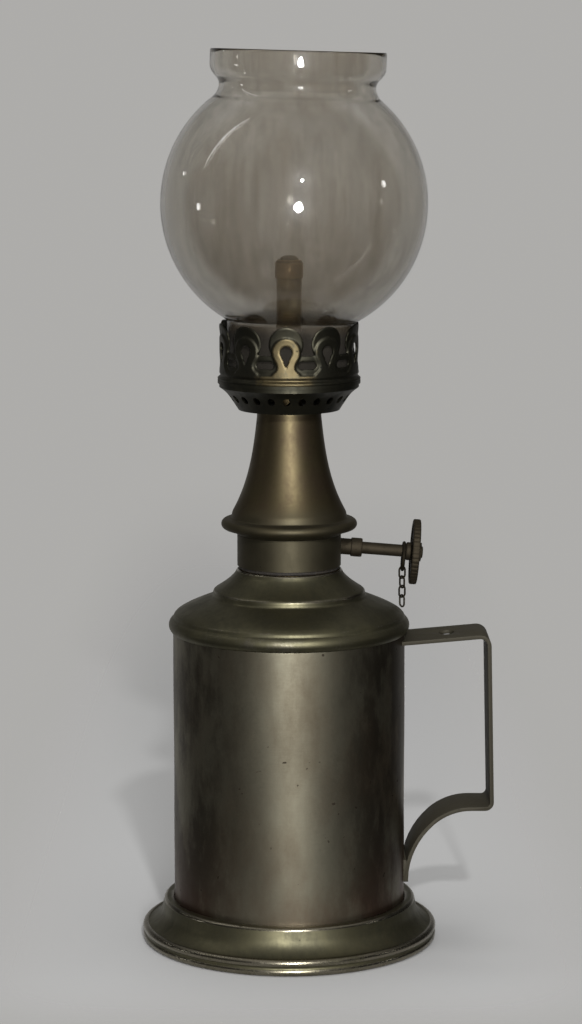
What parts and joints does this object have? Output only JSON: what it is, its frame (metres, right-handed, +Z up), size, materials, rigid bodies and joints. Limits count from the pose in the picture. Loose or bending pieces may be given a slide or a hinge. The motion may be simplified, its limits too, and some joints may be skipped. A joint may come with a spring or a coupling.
{
  "type": "spirit lamp",
  "caption": "Portable spirit lamp: felt-filled reservoir with a strap handle, screw-in burner, wick raised by a rack and pinion, pierced gallery and loose glass globe.",
  "frame": {"origin": "centre of the flat ring that the foot stands on, on the table", "axes": "+Z up along the lamp's axis; +X from the axis towards the handle and the wick knob; the pictured side is -Y"},
  "size_m": [0.0932, 0.078, 0.2344],
  "materials": {
    "worn_nickel": "worn nickel plate over brass, brushed and stained",
    "patina_brass": "dark olive-brown patina with rubbed edges",
    "column_brass": "tarnished brass with an olive tone",
    "raw_brass": "unpolished brass",
    "dark_bronze": "dark brown oxidised brass",
    "black_bronze": "blackened brass, rubbed bright on its raised edges",
    "heat_brown": "brass coloured by heat",
    "clear_glass": "clear blown glass with slight waves",
    "felt": "packed felt",
    "cotton": "plaited cotton",
    "leather": "old oiled leather"
  },
  "bodies": {
    "reservoir": {"foot": "patina_brass", "base_plate": "patina_brass", "reservoir_shell": "worn_nickel", "shoulder": "patina_brass", "neck_boss": "raw_brass", "felt_packing": "felt", "felt_gauze": "raw_brass", "handle_strap": "dark_bronze"},
    "washer": {"seal_washer": "leather"},
    "burner": {"burner_base": "column_brass", "bell_column": "column_brass", "shaft_gland": "dark_bronze", "gland_packing": "cotton", "gland_nut": "dark_bronze", "wick_tube": "raw_brass", "wick_nozzle": "heat_brown", "gallery_bowl": "black_bronze", "gallery_seat": "black_bronze", "gallery_crown": "black_bronze"},
    "adjuster": {"adjuster_shaft": "dark_bronze", "pinion": "raw_brass", "knob_hub": "dark_bronze", "knob_disc": "dark_bronze", "knob_nut": "dark_bronze"},
    "wick_slider": {"wick_carrier": "raw_brass", "wick_rack": "raw_brass", "wick": "cotton"},
    "cap_ring": {"chain_ring": "dark_bronze"},
    "link_1": {"chain_link_1": "dark_bronze"},
    "link_2": {"chain_link_2": "dark_bronze"},
    "link_3": {"chain_link_3": "dark_bronze"},
    "link_4": {"chain_link_4": "dark_bronze"},
    "globe": {"glass_globe": "clear_glass"}
  },
  "joints": [
    {"name": "burner_lift", "type": "slide", "parent": "reservoir", "child": "washer", "axis": [0, 0, 1], "range_m": [0, 0.00601]},
    {"name": "burner_turn", "type": "hinge", "parent": "washer", "child": "burner", "pos_m": [0, 0, 0.0998], "axis": [0, 0, 1], "range_deg": [0, 1440]},
    {"name": "adjuster_turn", "type": "hinge", "parent": "burner", "child": "adjuster", "pos_m": [0, 0.00745, 0.105], "axis": [0.9969, 0, -0.0785], "range_deg": [-109, 109]},
    {"name": "wick_slide", "type": "slide", "parent": "burner", "child": "wick_slider", "axis": [0, 0, 1], "range_m": [-0.006, 0.006]},
    {"name": "cap_ring_swing", "type": "hinge", "parent": "burner", "child": "cap_ring", "pos_m": [0.03036, 0.00745, 0.10261], "axis": [0.9969, 0, -0.0785], "range_deg": [-60, 60]},
    {"name": "link_1_swing", "type": "hinge", "parent": "cap_ring", "child": "link_1", "pos_m": [0.02996, 0.00745, 0.09763], "axis": [0, 1, 0], "range_deg": [-5, 2]},
    {"name": "link_2_swing", "type": "hinge", "parent": "link_1", "child": "link_2", "pos_m": [0.02996, 0.00745, 0.09528], "axis": [0.8192, 0.5736, 0], "range_deg": [-8, 3]},
    {"name": "link_3_swing", "type": "hinge", "parent": "link_2", "child": "link_3", "pos_m": [0.02996, 0.00745, 0.09273], "axis": [0.5736, -0.8192, 0], "range_deg": [-3, 20]},
    {"name": "link_4_swing", "type": "hinge", "parent": "link_3", "child": "link_4", "pos_m": [0.02996, 0.00745, 0.09018], "axis": [0.8192, 0.5736, 0], "range_deg": [-25, 6]},
    {"name": "globe_lift", "type": "slide", "parent": "burner", "child": "globe", "axis": [0, 0, 1], "range_m": [0, 0.04]}
  ],
  "couplings": [
    {"joint": "burner_lift", "follows": "burner_turn", "m_per_rad": 0.00023873},
    {"joint": "wick_slide", "follows": "adjuster_turn", "m_per_rad": -0.00314}
  ]
}
